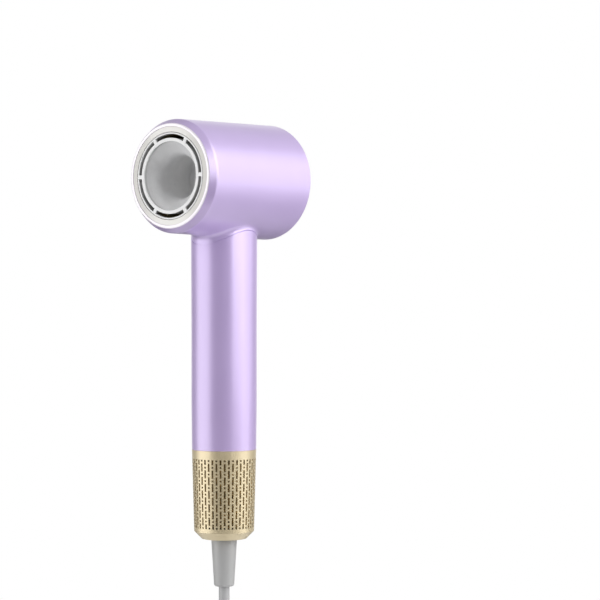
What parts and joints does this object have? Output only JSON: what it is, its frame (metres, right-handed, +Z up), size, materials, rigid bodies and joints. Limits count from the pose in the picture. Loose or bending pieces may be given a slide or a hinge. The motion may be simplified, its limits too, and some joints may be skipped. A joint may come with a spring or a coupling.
{
  "type": "travel hair dryer",
  "caption": "Cylindrical-handle hair dryer with a short round head, slotted outlet ring, blind cup, perforated pull-off filter cover and mains lead.",
  "frame": {"origin": "on the handle axis, at the middle of the cylindrical grip band", "axes": "+Z up the handle to the head, -Y out of the nozzle, +Y towards the rear cap and the controls"},
  "size_m": [0.0694, 0.0878, 0.5552],
  "materials": {
    "lilac_shell": "satin pearl paint",
    "rear_panel": "satin pearl paint",
    "accent": "gloss inlay",
    "pale_ring": "fine satin anodised",
    "outlet_white": "satin heat-resistant plastic",
    "cup_grey": "satin heat-resistant plastic",
    "gold_cover": "bead-blasted gold anodised",
    "gold_button": "diamond-cut gold anodised",
    "grey_rubber": "matt elastomer",
    "cord_sheath": "satin sheath",
    "plug_grey": "fine matt",
    "tie_strap": "woven hook and loop",
    "pin_brass": "polished",
    "inner_black": "moulded",
    "mica": "pressed mica board",
    "heater_wire": "drawn wire",
    "steel": "machined",
    "magnet": "nickel plated",
    "circuit_board": "solder mask",
    "component": "moulded",
    "motor_alloy": "die-cast, machined",
    "copper": "enamelled wire",
    "black_rubber": "moulded",
    "lead_red": "silicone insulation"
  },
  "bodies": {
    "dryer": {"head_shell": "lilac_shell", "rear_cap": "rear_panel", "rear_disc": "rear_panel", "accent_ring": "accent", "cap_screws": "steel", "chamber_divider": "inner_black", "main_board": "circuit_board", "ion_module": "component", "power_capacitor": "component", "board_components": "component", "nozzle_bezel": "pale_ring", "nozzle_magnets": "magnet", "outlet_ring": "outlet_white", "inner_cup": "cup_grey", "heater_coil": "heater_wire", "heater_frame": "mica", "heater_sleeve": "mica", "thermal_cutout": "steel", "temperature_sensor": "component", "ion_emitters": "component", "handle_shell": "lilac_shell", "control_frame": "inner_black", "switch_board": "circuit_board", "control_screws": "steel", "slide_switch": "inner_black", "tact_switch": "inner_black", "air_duct": "inner_black", "motor_mounts": "black_rubber", "motor_shroud": "motor_alloy", "bearing_carrier": "steel", "motor_bearings": "steel", "stator_core": "steel", "stator_windings": "copper", "motor_board": "circuit_board", "mains_leads": "lead_red", "head_leads": "lead_red", "motor_leads": "lead_red", "intake_cage": "inner_black", "cover_magnets": "magnet", "filter_mesh": "steel", "strain_relief": "grey_rubber", "cord_clamp": "inner_black", "clamp_screws": "steel", "cord_tail": "cord_sheath", "cord_tube": "cord_sheath", "cord_hank": "cord_sheath", "cord_tie": "tie_strap", "plug_body": "plug_grey", "plug_pins": "pin_brass"},
    "slider": {"slider_carriage": "lilac_shell", "power_knob": "gold_button", "switch_lever": "inner_black"},
    "button": {"temp_button": "gold_button", "tact_plunger": "inner_black"},
    "cover": {"filter_cover": "gold_cover", "cover_keeper": "steel"},
    "rotor": {"rotor_shaft": "steel", "rotor_magnet": "magnet", "impeller": "motor_alloy"}
  },
  "joints": [
    {"name": "power_slide", "type": "slide", "parent": "dryer", "child": "slider", "axis": [0, 0, 1], "range_m": [0, 0.006]},
    {"name": "button_press", "type": "slide", "parent": "dryer", "child": "button", "axis": [0, -1, 0], "range_m": [0, 0.0008], "stiffness_N_per_m": 1500, "springref_m": -0.0006},
    {"name": "cover_pull", "type": "slide", "parent": "dryer", "child": "cover", "axis": [0, 0, -1], "range_m": [0, 0.056]},
    {"name": "fan_spin", "type": "hinge", "parent": "dryer", "child": "rotor", "pos_m": [0, 0, 0], "axis": [0, 0, 1], "continuous": true}
  ]
}
